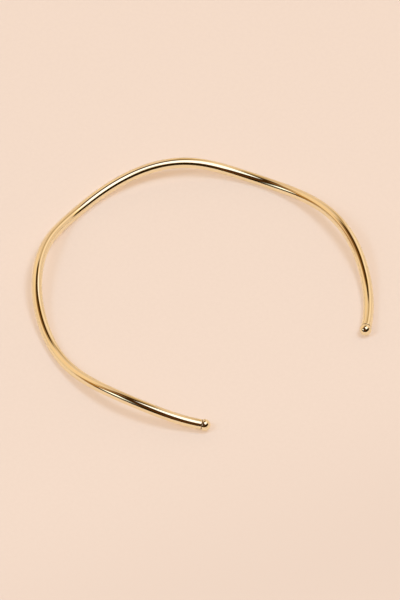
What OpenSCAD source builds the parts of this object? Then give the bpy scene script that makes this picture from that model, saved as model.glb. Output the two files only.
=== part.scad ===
// Open collar necklace: one round wire bent into a ring with four upright waves, and a ball on each end.
// It lies as put down on a flat surface. +Z is up, +Y is its back and -Y its open side.

/* [Collar] */
// Mean radius of the ring, to the middle of the wire
ring_radius = 62; // [55:0.5:72]
// Bearing of each end ball, counted from the back
end_bearing = 142; // [134:1:150]
// Height of the wave's crests over its lows
crest_lift = 4.9; // [1:0.1:8]

/* [Wire] */
// Diameter of the round wire
wire_d = 4; // [3:0.1:4.2]
// Bevel round each cut end of the wire
end_bevel = 0.25; // [0.1:0.05:0.5]

/* [End balls] */
// Diameter of each end ball
ball_d = 4.5; // [4.4:0.1:6]
// Diameter of the hidden peg that each ball sits on
peg_d = 1.8; // [1.2:0.1:2]
// Length of the peg past the cut end of the wire
peg_length = 1.8; // [1:0.1:2]
// Seam between the wire's end face and the ball's flat
seam = 0.12; // [0.1:0.02:0.3]

/* [Hidden] */

// One row for each low and crest of the wave, from left to right past the back.
// The columns are its bearing from the back, and how far the plan bulges past ring_radius there.
BEARING = 0;
BULGE = 1;
WAVE = [
    [-150.5, -0.5],
    [-114, -2.7],
    [-75, -1.2],
    [-37.5, 1.3],
    [-9, 1.7],
    [26.5, 0.9],
    [59.5, -0.9],
    [96, -1.4],
    [132.5, -0.4],
];
last_row = len(WAVE) - 1;
bearings = [for (row = WAVE) row[BEARING]];
bulges = [for (row = WAVE) row[BULGE]];
// Even rows are lows, with a phase of whole turns, and odd rows are crests
phases = [for (i = [0:last_row]) 180 * i];

// Mesh of the bent wire
wire_sides = 20;
wire_steps = 144;
slope_step = 0.01;

// Sizes that follow from the ones above
wire_r = wire_d / 2;
ball_r = ball_d / 2;
peg_r = peg_d / 2;
peg_clearance = 0.1;
bore_depth = peg_length - seam + 2 * peg_clearance;
// The ball's flat lies where the ball is as wide as the wire
flat_back = sqrt(ball_r * ball_r - wire_r * wire_r);
// Angle of the ring that a short length of wire takes up
function arc_angle(length) = length / ring_radius * 180 / PI;
wire_end_bearing = end_bearing - arc_angle(seam + flat_back);
bevel_bearing = wire_end_bearing - arc_angle(end_bevel);

// The row that starts the stretch holding a bearing
function stretch(b, i = 0) = i < last_row - 1 && b >= bearings[i + 1] ? stretch(b, i + 1) : i;

// The parabola through a row and its two neighbours, read at a bearing
function parabola(values, row, b) =
    let (
        mid = max(1, min(last_row - 1, row)),
        step_in = bearings[mid] - bearings[mid - 1],
        step_out = bearings[mid + 1] - bearings[mid],
        slope_in = (values[mid] - values[mid - 1]) / step_in,
        slope_out = (values[mid + 1] - values[mid]) / step_out,
        bend = (slope_out - slope_in) / (step_in + step_out)
    )
    values[mid] + (b - bearings[mid]) * (slope_in + (b - bearings[mid - 1]) * bend);

// Two neighbouring parabolas blended, so that slope and curvature run on from row to row
function smooth(values, b) =
    let (
        i = stretch(b),
        share = max(0, min(1, (b - bearings[i]) / (bearings[i + 1] - bearings[i]))),
        weight = share * share * (3 - 2 * share)
    )
    (1 - weight) * parabola(values, i, b) + weight * parabola(values, i + 1, b);

// Middle of the wire at a bearing
function middle(b) =
    let (r = ring_radius + smooth(bulges, b))
    [r * sin(b), r * cos(b), wire_r + crest_lift * (1 - cos(smooth(phases, b))) / 2];
function unit(v) = v / norm(v);
function direction(b) = unit(middle(b + slope_step) - middle(b - slope_step));

// One ring of points square to the wire
function ring(centre, along, r) =
    let (side = unit(cross(along, [0, 0, 1])), up = cross(side, along))
    [for (k = [0:wire_sides - 1]) let (a = 360 * k / wire_sides) centre + r * (cos(a) * side + sin(a) * up)];
function body_ring(b) = ring(middle(b), direction(b), wire_r);

// Peg and bevelled face at a cut end, where way is -1 at the left end and 1 at the right
function end_rings(way) =
    let (b = way * wire_end_bearing, face = middle(b), along = direction(b))
    [
        ring(face, along, wire_r - end_bevel),
        ring(face, along, peg_r),
        ring(face + way * peg_length * along, along, peg_r),
    ];
function reversed(list) = [for (i = [len(list) - 1:-1:0]) list[i]];
wire_rings = concat(
    reversed(end_rings(-1)),
    [for (i = [0:wire_steps]) body_ring(bevel_bearing * (2 * i / wire_steps - 1))],
    end_rings(1)
);
wire_points = [for (points = wire_rings) each points];

// Centres of the end balls, and the directions that they point in
function ball_centre(way) =
    let (b = way * wire_end_bearing)
    middle(b) + way * (seam + flat_back) * direction(b);
function ball_direction(way) = way * direction(way * wire_end_bearing);

// Everything is moved together, so that the origin is under the middle of the whole collar
ball_centres = [ball_centre(-1), ball_centre(1)];
function lowest(axis) = min(concat([for (p = wire_points) p[axis]], [for (c = ball_centres) c[axis] - ball_r]));
function highest(axis) = max(concat([for (p = wire_points) p[axis]], [for (c = ball_centres) c[axis] + ball_r]));
to_origin = [-(lowest(0) + highest(0)) / 2, -(lowest(1) + highest(1)) / 2, -lowest(2)];

module collar_wire() {
    rings = len(wire_rings);
    first_cap = [for (k = [0:wire_sides - 1]) k];
    last_cap = [for (k = [wire_sides - 1:-1:0]) (rings - 1) * wire_sides + k];
    walls = [
        for (i = [0:rings - 2], k = [0:wire_sides - 1])
            let (here = i * wire_sides, next = here + wire_sides, k2 = (k + 1) % wire_sides)
            each [[here + k, next + k2, here + k2], [here + k, next + k, next + k2]]
    ];
    color("gold")
        translate(to_origin)
            polyhedron(points = wire_points, faces = concat([first_cap, last_cap], walls));
}

// A ball cut flat where it meets the wire, with a blind hole for the peg
module ball_end(way) {
    d = ball_direction(way);
    color("gold")
        translate(to_origin + ball_centre(way))
            rotate([0, acos(d[2]), atan2(d[1], d[0])])
                difference() {
                    sphere(d = ball_d, $fn = 64);
                    translate([0, 0, -flat_back - ball_d / 2])
                        cube([2 * ball_d, 2 * ball_d, ball_d], center = true);
                    translate([0, 0, -flat_back - ball_d])
                        cylinder(r = peg_r + peg_clearance, h = ball_d + bore_depth, $fn = 48);
                }
}

module ball_end_left() {
    ball_end(-1);
}

module ball_end_right() {
    ball_end(1);
}

collar_wire();
ball_end_left();
ball_end_right();
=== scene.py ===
"""Open collar necklace of polished wire, lying on a pale surface in soft studio light.

The collar's own sizes are in millimetres, as its source has them. All that goes into the scene is in metres.
"""
import math

import bpy
import numpy as np
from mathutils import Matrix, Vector


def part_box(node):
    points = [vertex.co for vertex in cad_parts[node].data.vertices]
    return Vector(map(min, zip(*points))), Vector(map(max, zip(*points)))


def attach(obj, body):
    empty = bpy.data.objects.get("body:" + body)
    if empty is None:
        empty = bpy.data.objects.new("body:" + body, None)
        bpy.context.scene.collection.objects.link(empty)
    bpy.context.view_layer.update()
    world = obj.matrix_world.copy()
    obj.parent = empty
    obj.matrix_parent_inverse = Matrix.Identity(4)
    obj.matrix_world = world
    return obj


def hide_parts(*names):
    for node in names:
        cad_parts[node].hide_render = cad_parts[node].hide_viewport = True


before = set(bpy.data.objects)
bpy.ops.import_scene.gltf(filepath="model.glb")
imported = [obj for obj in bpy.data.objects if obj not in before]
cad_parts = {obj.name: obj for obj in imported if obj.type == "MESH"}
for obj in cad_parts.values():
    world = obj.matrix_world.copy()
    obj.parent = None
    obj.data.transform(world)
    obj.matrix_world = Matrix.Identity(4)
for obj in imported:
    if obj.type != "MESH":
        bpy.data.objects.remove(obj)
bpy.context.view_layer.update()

MM = 0.001
UP = Vector((0, 0, 1))

# The collar's sizes in millimetres, as the part's source has them
RING_RADIUS = 62.0
END_BEARING = 142.0
CREST_LIFT = 4.9
WIRE_R = 2.0
BALL_R = 2.25
PEG_R = 0.9
PEG_LENGTH = 1.8
PEG_CLEARANCE = 0.1
SEAM = 0.12

# Bearing of each low and crest from the back, and how far the plan bulges past the ring's radius there
WAVE = [
    (-150.5, -0.5), (-114, -2.7), (-75, -1.2), (-37.5, 1.3), (-9, 1.7),
    (26.5, 0.9), (59.5, -0.9), (96, -1.4), (132.5, -0.4),
]
BEARINGS = np.array([row[0] for row in WAVE], float)
BULGES = np.array([row[1] for row in WAVE], float)
# Even rows are lows, with a phase of whole turns, and odd rows are crests
PHASES = 180.0 * np.arange(len(WAVE))

# Finish of the edges, in millimetres: the round on the cut wire, and how far the ball's round reaches
END_ROUND = 0.25
BALL_ROUND = 0.144
# The fine mesh lies this far inside the solid's skin, so that it stays in the solid's box
SKIN = 0.014
# Half widths of the groove at each seam, where its painted shade is darkest and where it ends; the finish
# there is also rougher
GROOVE_DARK = 0.10
GROOVE_END = 0.25

# Fineness of the meshes, and of the steps along the curve
WIRE_SIDES = 56
WIRE_STEPS = 1100
ROUND_STEPS = 6
BALL_SIDES = 72
BALL_STEPS = 44
SHARP_EDGE = math.radians(35)
SLOPE_STEP = 0.01
BOX_SAMPLES = 4001


# The wire's curve
def parabola(values, row, b):
    """The parabola through a row and its two neighbours, read at the bearings b."""
    mid = np.clip(row, 1, len(values) - 2)
    step_in = BEARINGS[mid] - BEARINGS[mid - 1]
    step_out = BEARINGS[mid + 1] - BEARINGS[mid]
    slope_in = (values[mid] - values[mid - 1]) / step_in
    slope_out = (values[mid + 1] - values[mid]) / step_out
    bend = (slope_out - slope_in) / (step_in + step_out)
    return values[mid] + (b - BEARINGS[mid]) * (slope_in + (b - BEARINGS[mid - 1]) * bend)


def smooth(values, b):
    """Two neighbouring parabolas blended, so that slope and curvature run on from row to row."""
    row = np.clip(np.searchsorted(BEARINGS, b, side="right") - 1, 0, len(values) - 2)
    share = np.clip((b - BEARINGS[row]) / (BEARINGS[row + 1] - BEARINGS[row]), 0, 1)
    weight = share * share * (3 - 2 * share)
    return (1 - weight) * parabola(values, row, b) + weight * parabola(values, row + 1, b)


def middle(b):
    """Middle of the wire at the bearings b, in millimetres and before the move to the part's origin."""
    b = np.atleast_1d(np.asarray(b, float))
    r = RING_RADIUS + smooth(BULGES, b)
    turn = np.radians(b)
    lift = CREST_LIFT * (1 - np.cos(np.radians(smooth(PHASES, b)))) / 2
    return np.stack([r * np.sin(turn), r * np.cos(turn), WIRE_R + lift], axis=1)


def unit(v):
    return v / np.linalg.norm(v, axis=-1, keepdims=True)


def direction(b):
    """The way the wire runs at the bearings b, from left to right past the back."""
    b = np.atleast_1d(np.asarray(b, float))
    return unit(middle(b + SLOPE_STEP) - middle(b - SLOPE_STEP))


def arc_angle(length):
    """Angle of the ring that a short length of wire takes up."""
    return math.degrees(length / RING_RADIUS)


# The ball's flat lies where the ball is as wide as the wire
flat_back = math.sqrt(BALL_R ** 2 - WIRE_R ** 2)
wire_end = END_BEARING - arc_angle(SEAM + flat_back)


def cut_end(way):
    """Middle of a cut end and the wire's direction there, with way -1 at the left end and 1 at the right."""
    bearing = way * wire_end
    return middle(bearing)[0], direction(bearing)[0]


def origin_shift():
    """How far the part was moved to its origin, from the wire's own box. Its pegs reach only towards -Y."""
    b = np.linspace(-wire_end, wire_end, BOX_SAMPLES)
    points = middle(b)
    reach = WIRE_R * np.sqrt(1 - direction(b) ** 2)
    low, high = [np.array(corner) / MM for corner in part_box("collar_wire")]
    ours_low = (points - reach).min(axis=0)
    ours_high = (points + reach).max(axis=0)
    x = (low[0] + high[0] - ours_low[0] - ours_high[0]) / 2
    return np.array([x, high[1] - ours_high[1], low[2] - ours_low[2]])


SHIFT = origin_shift()


# Meshes
def circle(centre, along, r, sides):
    """A ring of points square to a direction."""
    side = unit(np.cross(along, UP))
    up = np.cross(side, along)
    turn = 2 * math.pi * np.arange(sides) / sides
    return centre + r * (np.cos(turn)[:, None] * side + np.sin(turn)[:, None] * up)


def swept(rings, sides):
    """Points and faces that join rings of points in a row, with a fan at each end."""
    faces = []
    last = len(rings) - 1
    for i in range(last):
        here = i * sides
        there = here + sides
        for k in range(sides):
            k2 = (k + 1) % sides
            faces.append((here + k2, there + k2, there + k, here + k))
    first_middle = len(rings) * sides
    last_middle = first_middle + 1
    for k in range(sides):
        k2 = (k + 1) % sides
        faces.append((k2, k, first_middle))
        faces.append((last * sides + k, last * sides + k2, last_middle))
    points = [p for ring in rings for p in ring]
    points += [np.mean(rings[0], axis=0), np.mean(rings[-1], axis=0)]
    return np.array(points), faces


def new_object(name, points, faces, material):
    """A smooth piece from points in millimetres, moved to the part's origin."""
    mesh = bpy.data.meshes.new(name)
    mesh.from_pydata([tuple(point) for point in (points + SHIFT) * MM], [], faces)
    mesh.validate()
    mesh.update()
    for polygon in mesh.polygons:
        polygon.use_smooth = True
    mesh.set_sharp_from_angle(angle=SHARP_EDGE)
    mesh.materials.append(material)
    piece = bpy.data.objects.new(name, mesh)
    bpy.context.scene.collection.objects.link(piece)
    return piece


def end_rings(way):
    """The rounded edge of a cut end, its face and its peg, from the wire's body outwards."""
    face, along = cut_end(way)
    rings = []
    for step in range(1, ROUND_STEPS + 1):
        turn = math.pi / 2 * step / ROUND_STEPS
        back = END_ROUND * (1 - math.sin(turn))
        r = WIRE_R - SKIN - END_ROUND * (1 - math.cos(turn))
        rings.append(circle(face - way * back * along, along, r, WIRE_SIDES))
    rings.append(circle(face, along, PEG_R, WIRE_SIDES))
    rings.append(circle(face + way * PEG_LENGTH * along, along, PEG_R, WIRE_SIDES))
    return rings


def build_wire(material):
    """The bent wire with its rounded cut ends and the thin pegs that the balls sit on."""
    inner = wire_end - arc_angle(END_ROUND)
    bearings = np.linspace(-inner, inner, WIRE_STEPS + 1)
    rings = end_rings(-1)[::-1]
    for centre, along in zip(middle(bearings), direction(bearings)):
        rings.append(circle(centre, along, WIRE_R - SKIN, WIRE_SIDES))
    rings += end_rings(1)
    points, faces = swept(rings, WIRE_SIDES)
    return new_object("wire_body", points, faces, material)


def ball_profile():
    """Half outline of a ball end, as places along its axis and distances from the axis."""
    r = BALL_R - SKIN
    bore_r = PEG_R + PEG_CLEARANCE
    bore_end = -flat_back + PEG_LENGTH - SEAM + 2 * PEG_CLEARANCE
    edge = math.sqrt(r * r - flat_back * flat_back)
    outline = [(bore_end, bore_r), (-flat_back, bore_r), (-flat_back, edge - BALL_ROUND)]
    # a curve from the flat on to the sphere, drawn towards the corner between them
    start = math.asin(-flat_back / r) + BALL_ROUND / r
    x0, y0 = outline[-1]
    x1, y1 = r * math.sin(start), r * math.cos(start)
    for step in range(1, ROUND_STEPS + 1):
        t = step / ROUND_STEPS
        a, b, c = (1 - t) ** 2, 2 * t * (1 - t), t * t
        outline.append((a * x0 - b * flat_back + c * x1, a * y0 + b * edge + c * y1))
    for step in range(1, BALL_STEPS):
        turn = start + (math.pi / 2 - start) * step / BALL_STEPS
        outline.append((r * math.sin(turn), r * math.cos(turn)))
    return outline


def build_ball(name, way, material):
    """A ball end with its flat and its blind hole, which closes at its pole."""
    face, along = cut_end(way)
    outwards = way * along
    centre = face + (SEAM + flat_back) * outwards
    rings = [circle(centre + x * outwards, outwards, y, BALL_SIDES) for x, y in ball_profile()]
    points, faces = swept(rings, BALL_SIDES)
    points[-1] = centre + (BALL_R - SKIN) * outwards
    return new_object(name, points, faces, material)


# Node helpers
MIX_FACTOR = 0
MIX_COLOUR_A = 6
MIX_COLOUR_B = 7
MIX_COLOUR_OUT = 2


def tree_of(owner):
    """An empty node tree of a material or a world."""
    owner.use_nodes = True
    owner.node_tree.nodes.clear()
    return owner.node_tree


def node(tree, kind, inputs=None, **settings):
    """A new node, with an input linked where its value is a socket and set where it isn't."""
    made = tree.nodes.new(kind)
    for name, value in settings.items():
        setattr(made, name, value)
    for name, value in (inputs or {}).items():
        if isinstance(value, bpy.types.NodeSocket):
            tree.links.new(value, made.inputs[name])
        else:
            made.inputs[name].default_value = value
    return made


def mix_colour(tree, factor, a, b):
    inputs = {MIX_FACTOR: factor, MIX_COLOUR_A: a, MIX_COLOUR_B: b}
    return node(tree, "ShaderNodeMix", inputs, data_type="RGBA").outputs[MIX_COLOUR_OUT]


def ramp(tree, value, low, high, out_low=0.0, out_high=1.0):
    """A value carried smoothly from one range to another."""
    inputs = {0: value, 1: low, 2: high, 3: out_low, 4: out_high}
    return node(tree, "ShaderNodeMapRange", inputs, interpolation_type="SMOOTHSTEP").outputs[0]


def dot(tree, place, vector):
    inputs = {0: place, 1: tuple(vector)}
    return node(tree, "ShaderNodeVectorMath", inputs, operation="DOT_PRODUCT").outputs["Value"]


def calc(tree, operation, a, b=0.0):
    return node(tree, "ShaderNodeMath", {0: a, 1: b}, operation=operation).outputs[0]


def noise(tree, place, scale, detail, roughness=0.5):
    inputs = {"Vector": place, "Scale": scale, "Detail": detail, "Roughness": roughness}
    return node(tree, "ShaderNodeTexNoise", inputs).outputs[0]


# Camera: the photograph's view of the collar, from far enough away to show no perspective
ELEVATION = math.radians(51.0)
HEADING = math.radians(38.1)
VIEW_HEIGHT = 0.2244
DISTANCE = 1.0
# How far the middle of the view lies left of the ring's middle and beyond it, in millimetres
LEFT_OF_RING = 1.6
BEYOND_RING = 1.57
right = Vector((math.cos(HEADING), -math.sin(HEADING), 0))
away = Vector((math.sin(HEADING), math.cos(HEADING), 0))
to_camera = UP * math.sin(ELEVATION) - away * math.cos(ELEVATION)
ring_middle = Vector((SHIFT[0], SHIFT[1], 0)) * MM
look_at = ring_middle + (away * BEYOND_RING - right * LEFT_OF_RING) * MM

camera_data = bpy.data.cameras.new("camera")
camera_data.type = "ORTHO"
camera_data.ortho_scale = VIEW_HEIGHT
camera_data.clip_start = 0.01
camera_data.clip_end = 10
camera = bpy.data.objects.new("camera", camera_data)
bpy.context.scene.collection.objects.link(camera)
camera.location = look_at + to_camera * DISTANCE
camera.rotation_mode = "QUATERNION"
camera.rotation_quaternion = (-to_camera).to_track_quat("-Z", "Y")
bpy.context.scene.camera = camera
bpy.context.scene.view_settings.view_transform = "Standard"


# Materials. The gold tones from deep to pale, and in the grooves it is rougher and has painted shade.
DEEP_GOLD = (0.945, 0.820, 0.535, 1)
PALE_GOLD = (0.965, 0.845, 0.565, 1)
# painted shade: dark brown gold in the seam grooves, where the crease is shaded
GROOVE_PAINTED_SHADE = (0.36, 0.22, 0.08, 1)
POLISH_ROUGHNESS = 0.03
HAZE_ROUGHNESS = 0.06
GROOVE_ROUGHNESS = 0.3
TONING_SCALE = 90.0
HAZE_SCALE = 420.0
HAIRLINE_SCALE = 1400.0
HAIRLINE_STRENGTH = 0.04
HAIRLINE_DEPTH = 0.00001
# The pale surface has a faint grain, and a painted fall-off of the light makes it a little darker towards
# the front right
DEEP_PEACH = (0.434, 0.354, 0.296, 1)
PALE_PEACH = (0.440, 0.359, 0.300, 1)
PAINTED_FALL_OFF_PEACH = (0.417, 0.339, 0.283, 1)
GRAIN_SCALE = 700.0
SURFACE_ROUGHNESS = 0.9
FALL_OFF_WAY = right * 0.42 - away * 0.91
FALL_OFF_START = 0.06
FALL_OFF_END = 0.15


def groove_mask(tree, place):
    """1 in the narrow groove between each ball and the wire, where shade is painted and the finish is
    rougher, and 0 elsewhere.
    """
    total = None
    for way in (-1, 1):
        face, along = cut_end(way)
        along = Vector(along)
        seam_middle = (Vector(face + SHIFT) + way * along * SEAM / 2) * MM
        from_plane = calc(tree, "SUBTRACT", dot(tree, place, along), along.dot(seam_middle))
        from_plane = calc(tree, "ABSOLUTE", from_plane)
        groove = ramp(tree, from_plane, GROOVE_DARK * MM, GROOVE_END * MM, 1.0, 0.0)
        reach = node(tree, "ShaderNodeVectorMath", {0: place, 1: tuple(seam_middle)}, operation="DISTANCE")
        near = calc(tree, "LESS_THAN", reach.outputs["Value"], 2 * BALL_R * MM)
        mask = calc(tree, "MULTIPLY", groove, near)
        total = mask if total is None else calc(tree, "ADD", total, mask)
    return total


def polished_gold(name, seed, stretch):
    """Pale gold plate with a mirror polish: faint toning, fine haze, hairline scratches, and grooves that
    are rougher and have painted shade.
    """
    material = bpy.data.materials.new(name)
    tree = tree_of(material)
    place = node(tree, "ShaderNodeTexCoord").outputs["Object"]
    moved = node(tree, "ShaderNodeMapping", {"Vector": place, "Location": (seed, seed, 0)}).outputs[0]
    toning = noise(tree, moved, TONING_SCALE, detail=3.0, roughness=0.6)
    toning = ramp(tree, toning, low=0.35, high=0.65)
    groove = groove_mask(tree, place)
    colour = mix_colour(tree, toning, DEEP_GOLD, PALE_GOLD)
    # painted shade in the seam grooves between the wire and the balls
    colour = mix_colour(tree, groove, colour, GROOVE_PAINTED_SHADE)
    haze = noise(tree, moved, HAZE_SCALE, detail=5.0, roughness=0.65)
    rough = ramp(tree, haze, low=0.35, high=0.7, out_low=POLISH_ROUGHNESS, out_high=HAZE_ROUGHNESS)
    rough = calc(tree, "MAXIMUM", rough, calc(tree, "MULTIPLY", groove, GROOVE_ROUGHNESS))
    stretched = node(tree, "ShaderNodeMapping", {"Vector": moved, "Scale": (1.0, 1.0, stretch)}).outputs[0]
    hairlines = noise(tree, stretched, HAIRLINE_SCALE, detail=2.0)
    bump = node(
        tree, "ShaderNodeBump",
        {"Height": hairlines, "Strength": HAIRLINE_STRENGTH, "Distance": HAIRLINE_DEPTH},
    )
    shader = node(
        tree, "ShaderNodeBsdfPrincipled",
        {"Base Color": colour, "Metallic": 1.0, "Roughness": rough, "Normal": bump.outputs[0]},
    )
    node(tree, "ShaderNodeOutputMaterial", {"Surface": shader.outputs[0]})
    return material


def pale_surface():
    """Matt pale peach surface with the faintest grain and a slight painted fall-off of the light."""
    material = bpy.data.materials.new("pale_surface")
    tree = tree_of(material)
    place = node(tree, "ShaderNodeTexCoord").outputs["Object"]
    grain = ramp(tree, noise(tree, place, GRAIN_SCALE, detail=4.0), low=0.3, high=0.7)
    fall_off = ramp(tree, dot(tree, place, FALL_OFF_WAY), FALL_OFF_START, FALL_OFF_END)
    colour = mix_colour(tree, grain, DEEP_PEACH, PALE_PEACH)
    # painted light fall-off: a little darker towards the front right
    colour = mix_colour(tree, fall_off, colour, PAINTED_FALL_OFF_PEACH)
    shader = node(
        tree, "ShaderNodeBsdfPrincipled",
        {"Base Color": colour, "Roughness": SURFACE_ROUGHNESS, "Specular IOR Level": 0.0},
    )
    node(tree, "ShaderNodeOutputMaterial", {"Surface": shader.outputs[0]})
    return material


# Studio: a warm backdrop all round, with patches of dark and of light that the metal mirrors
BACKDROP = (0.81, 0.62, 0.49)
# What the camera sees past the floor, in the floor's own colour
SEEN = (0.905, 0.715, 0.58)
# Softness of a patch's edge
SHARP = 0.05
SOFT = 0.1
SOFTER = 0.2
FADED = 0.35
# Places are on an equal-area map of the sky, with x to the right, y away from the camera and the horizon
# at 1. A patch with corners has the softness of each edge, and a round one its radius and softness in
# degrees. The last value is the patch's light. Later patches cover earlier ones.
PATCHES = [
    # a warmer part of the backdrop
    (
        [(-0.8, 0.0), (-0.2, 0.1), (-0.25, 0.75), (-0.65, 0.6)],
        [SOFTER, SHARP, SOFTER, SOFTER],
        (0.96, 0.72, 0.49),
    ),
    # a paler fold of the backdrop
    (
        [(0.25, 0.25), (0.5, 0.3), (0.55, 0.6), (0.35, 0.75)],
        [FADED, SOFT, SOFTER, FADED],
        (1.06, 0.86, 0.68),
    ),
    # a darker fold of the backdrop
    (
        [(-0.05, 0.3), (0.1, 0.25), (0.25, 0.7), (0.05, 0.8)],
        [SOFT, SHARP, SHARP, FADED],
        (0.5, 0.33, 0.15),
    ),
    # the dark side where the camera stands
    (
        [(-0.95, -0.3), (-0.5, -0.95), (0.1, -1.0), (0.8, -0.5), (0.85, 0.05), (0.6, 0.15), (-0.95, -0.1)],
        [SOFTER, SOFTER, SOFTER, SOFTER, SOFTER, FADED, FADED],
        (0.02, 0.01, 0.002),
    ),
    # a brown rim above the second light
    (
        [(-0.55, 0.05), (-0.85, 0.05), (-0.85, -0.2), (-0.55, -0.15)],
        [SHARP, SOFT, SOFT, SOFTER],
        (0.47, 0.22, 0.05),
    ),
    # the wall beside the main light
    (
        [(0.1, -0.4), (0.35, -0.3), (0.55, 0.0), (0.6, 0.2), (0.1, 0.35)],
        [SOFT, SOFTER, FADED, SOFT, SHARP],
        (1.15, 0.78, 0.34),
    ),
    # a brown stand before the dark side
    (
        [(-0.4, -0.15), (-0.4, -0.4), (-0.1, -0.9), (0.2, -0.55), (-0.25, -0.2)],
        [SOFT, SOFT, SOFT, SOFTER, SOFT],
        (0.09, 0.032, 0.008),
    ),
    # the dark gap behind the main light
    ((-0.04, 0.15), (22, 9), (0.06, 0.025, 0.005)),
    # a dim nook left of the gap
    ((-0.37, 0.12), (7.5, 15), (0.29, 0.125, 0.03)),
    # the second light
    (
        [(-0.55, -0.2), (-0.75, -0.15), (-0.7, -0.35), (-0.5, -0.5)],
        [SHARP, SOFT, FADED, SOFTER],
        (2.0, 2.1, 2.25),
    ),
    # the main light
    (
        [(-0.17, 0.02), (-0.06, -0.14), (0.16, -0.38), (0.45, -0.12), (0.36, 0.32)],
        [SHARP, SOFTER, SOFT, FADED, SOFT],
        (1.5, 1.53, 1.75),
    ),
]


def sky_point(x, y):
    """The direction of a place on the map of the sky."""
    reach = math.hypot(x, y)
    from_zenith = 2 * math.asin(reach / math.sqrt(2))
    level = math.sin(from_zenith) / reach
    return right * (level * x) + away * (level * y) + UP * math.cos(from_zenith)


def panel_mask(tree, look, corners, softs):
    """A patch whose corners run anticlockwise on the map, cut out by a soft plane along each edge."""
    points = [sky_point(*corner) for corner in corners]
    mask = None
    for i, soft in enumerate(softs):
        inwards = points[i].cross(points[(i + 1) % len(points)]).normalized()
        edge = ramp(tree, dot(tree, look, inwards), -soft / 2, soft / 2)
        mask = edge if mask is None else calc(tree, "MULTIPLY", mask, edge)
    return mask


def round_mask(tree, look, centre, radius, soft):
    """A round patch of the sky, with its radius and softness in degrees."""
    inner = math.cos(math.radians(radius - soft / 2))
    outer = math.cos(math.radians(radius + soft / 2))
    return ramp(tree, dot(tree, look, sky_point(*centre)), outer, inner)


def build_world():
    """The studio as the metal mirrors it, and a plain colour where the camera looks past the floor."""
    world = bpy.data.worlds.new("studio")
    bpy.context.scene.world = world
    tree = tree_of(world)
    look = node(tree, "ShaderNodeTexCoord").outputs["Generated"]
    colour = (*BACKDROP, 1)
    for place, edges, light in PATCHES:
        if isinstance(place, tuple):
            mask = round_mask(tree, look, place, *edges)
        else:
            mask = panel_mask(tree, look, place, edges)
        colour = mix_colour(tree, mask, colour, (*light, 1))
    mirrored = node(tree, "ShaderNodeBackground", {"Color": colour}).outputs[0]
    seen = node(tree, "ShaderNodeBackground", {"Color": (*SEEN, 1)}).outputs[0]
    from_camera = node(tree, "ShaderNodeLightPath").outputs["Is Camera Ray"]
    choice = node(tree, "ShaderNodeMixShader", {0: from_camera, 1: mirrored, 2: seen})
    node(tree, "ShaderNodeOutputWorld", {"Surface": choice.outputs[0]})


build_world()

# Lights for the matt surface. The two keys give the close shadows, and the fill stands for the light that
# comes evenly from all round.
LIGHT_DISTANCE = 3.0
KEY_SIZE = 1.0
KEY_TINT = (0.52, 0.74, 1.0)
FILL_TINT = (1.0, 0.868, 0.708)
FILL_STRENGTH = 3.6
# Name, lean to the right and away for each unit up, and power in watts
KEYS = [
    ("key_light", 0.335, -0.056, 39.5),
    ("side_light", -0.66, -0.40, 35.0),
]


def add_light(kind, name, heading, power, tint):
    """A light that the metal doesn't mirror, because the world holds all that it mirrors."""
    data = bpy.data.lights.new(name, kind)
    data.energy = power
    data.color = tint
    light = bpy.data.objects.new(name, data)
    bpy.context.scene.collection.objects.link(light)
    light.location = ring_middle + heading.normalized() * LIGHT_DISTANCE
    light.rotation_mode = "QUATERNION"
    light.rotation_quaternion = heading.to_track_quat("Z", "Y")
    light.visible_glossy = False
    light.visible_camera = False
    return data


for light_name, to_right, to_away, power in KEYS:
    key = add_light("AREA", light_name, right * to_right + away * to_away + UP, power, KEY_TINT)
    key.shape = "DISK"
    key.size = KEY_SIZE
fill = add_light("SUN", "fill_light", UP, FILL_STRENGTH, FILL_TINT)
fill.use_shadow = False

# Floor
FLOOR_HALF = 12.0
floor_corners = [(x * FLOOR_HALF, y * FLOOR_HALF, 0) for x, y in ((-1, -1), (1, -1), (1, 1), (-1, 1))]
floor_mesh = bpy.data.meshes.new("floor")
floor_mesh.from_pydata(floor_corners, [], [(0, 1, 2, 3)])
floor_mesh.materials.append(pale_surface())
floor = bpy.data.objects.new("floor", floor_mesh)
bpy.context.scene.collection.objects.link(floor)

# The collar's pieces
wire_gold = polished_gold("wire_gold", seed=0.0, stretch=0.15)
ball_gold = polished_gold("ball_gold", seed=3.0, stretch=0.6)
wire = build_wire(wire_gold)
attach(wire, "root")
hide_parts("collar_wire")
for side_name, way in (("left", -1), ("right", 1)):
    ball = build_ball("ball_" + side_name, way, ball_gold)
    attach(ball, "root")
    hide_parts("ball_end_" + side_name)
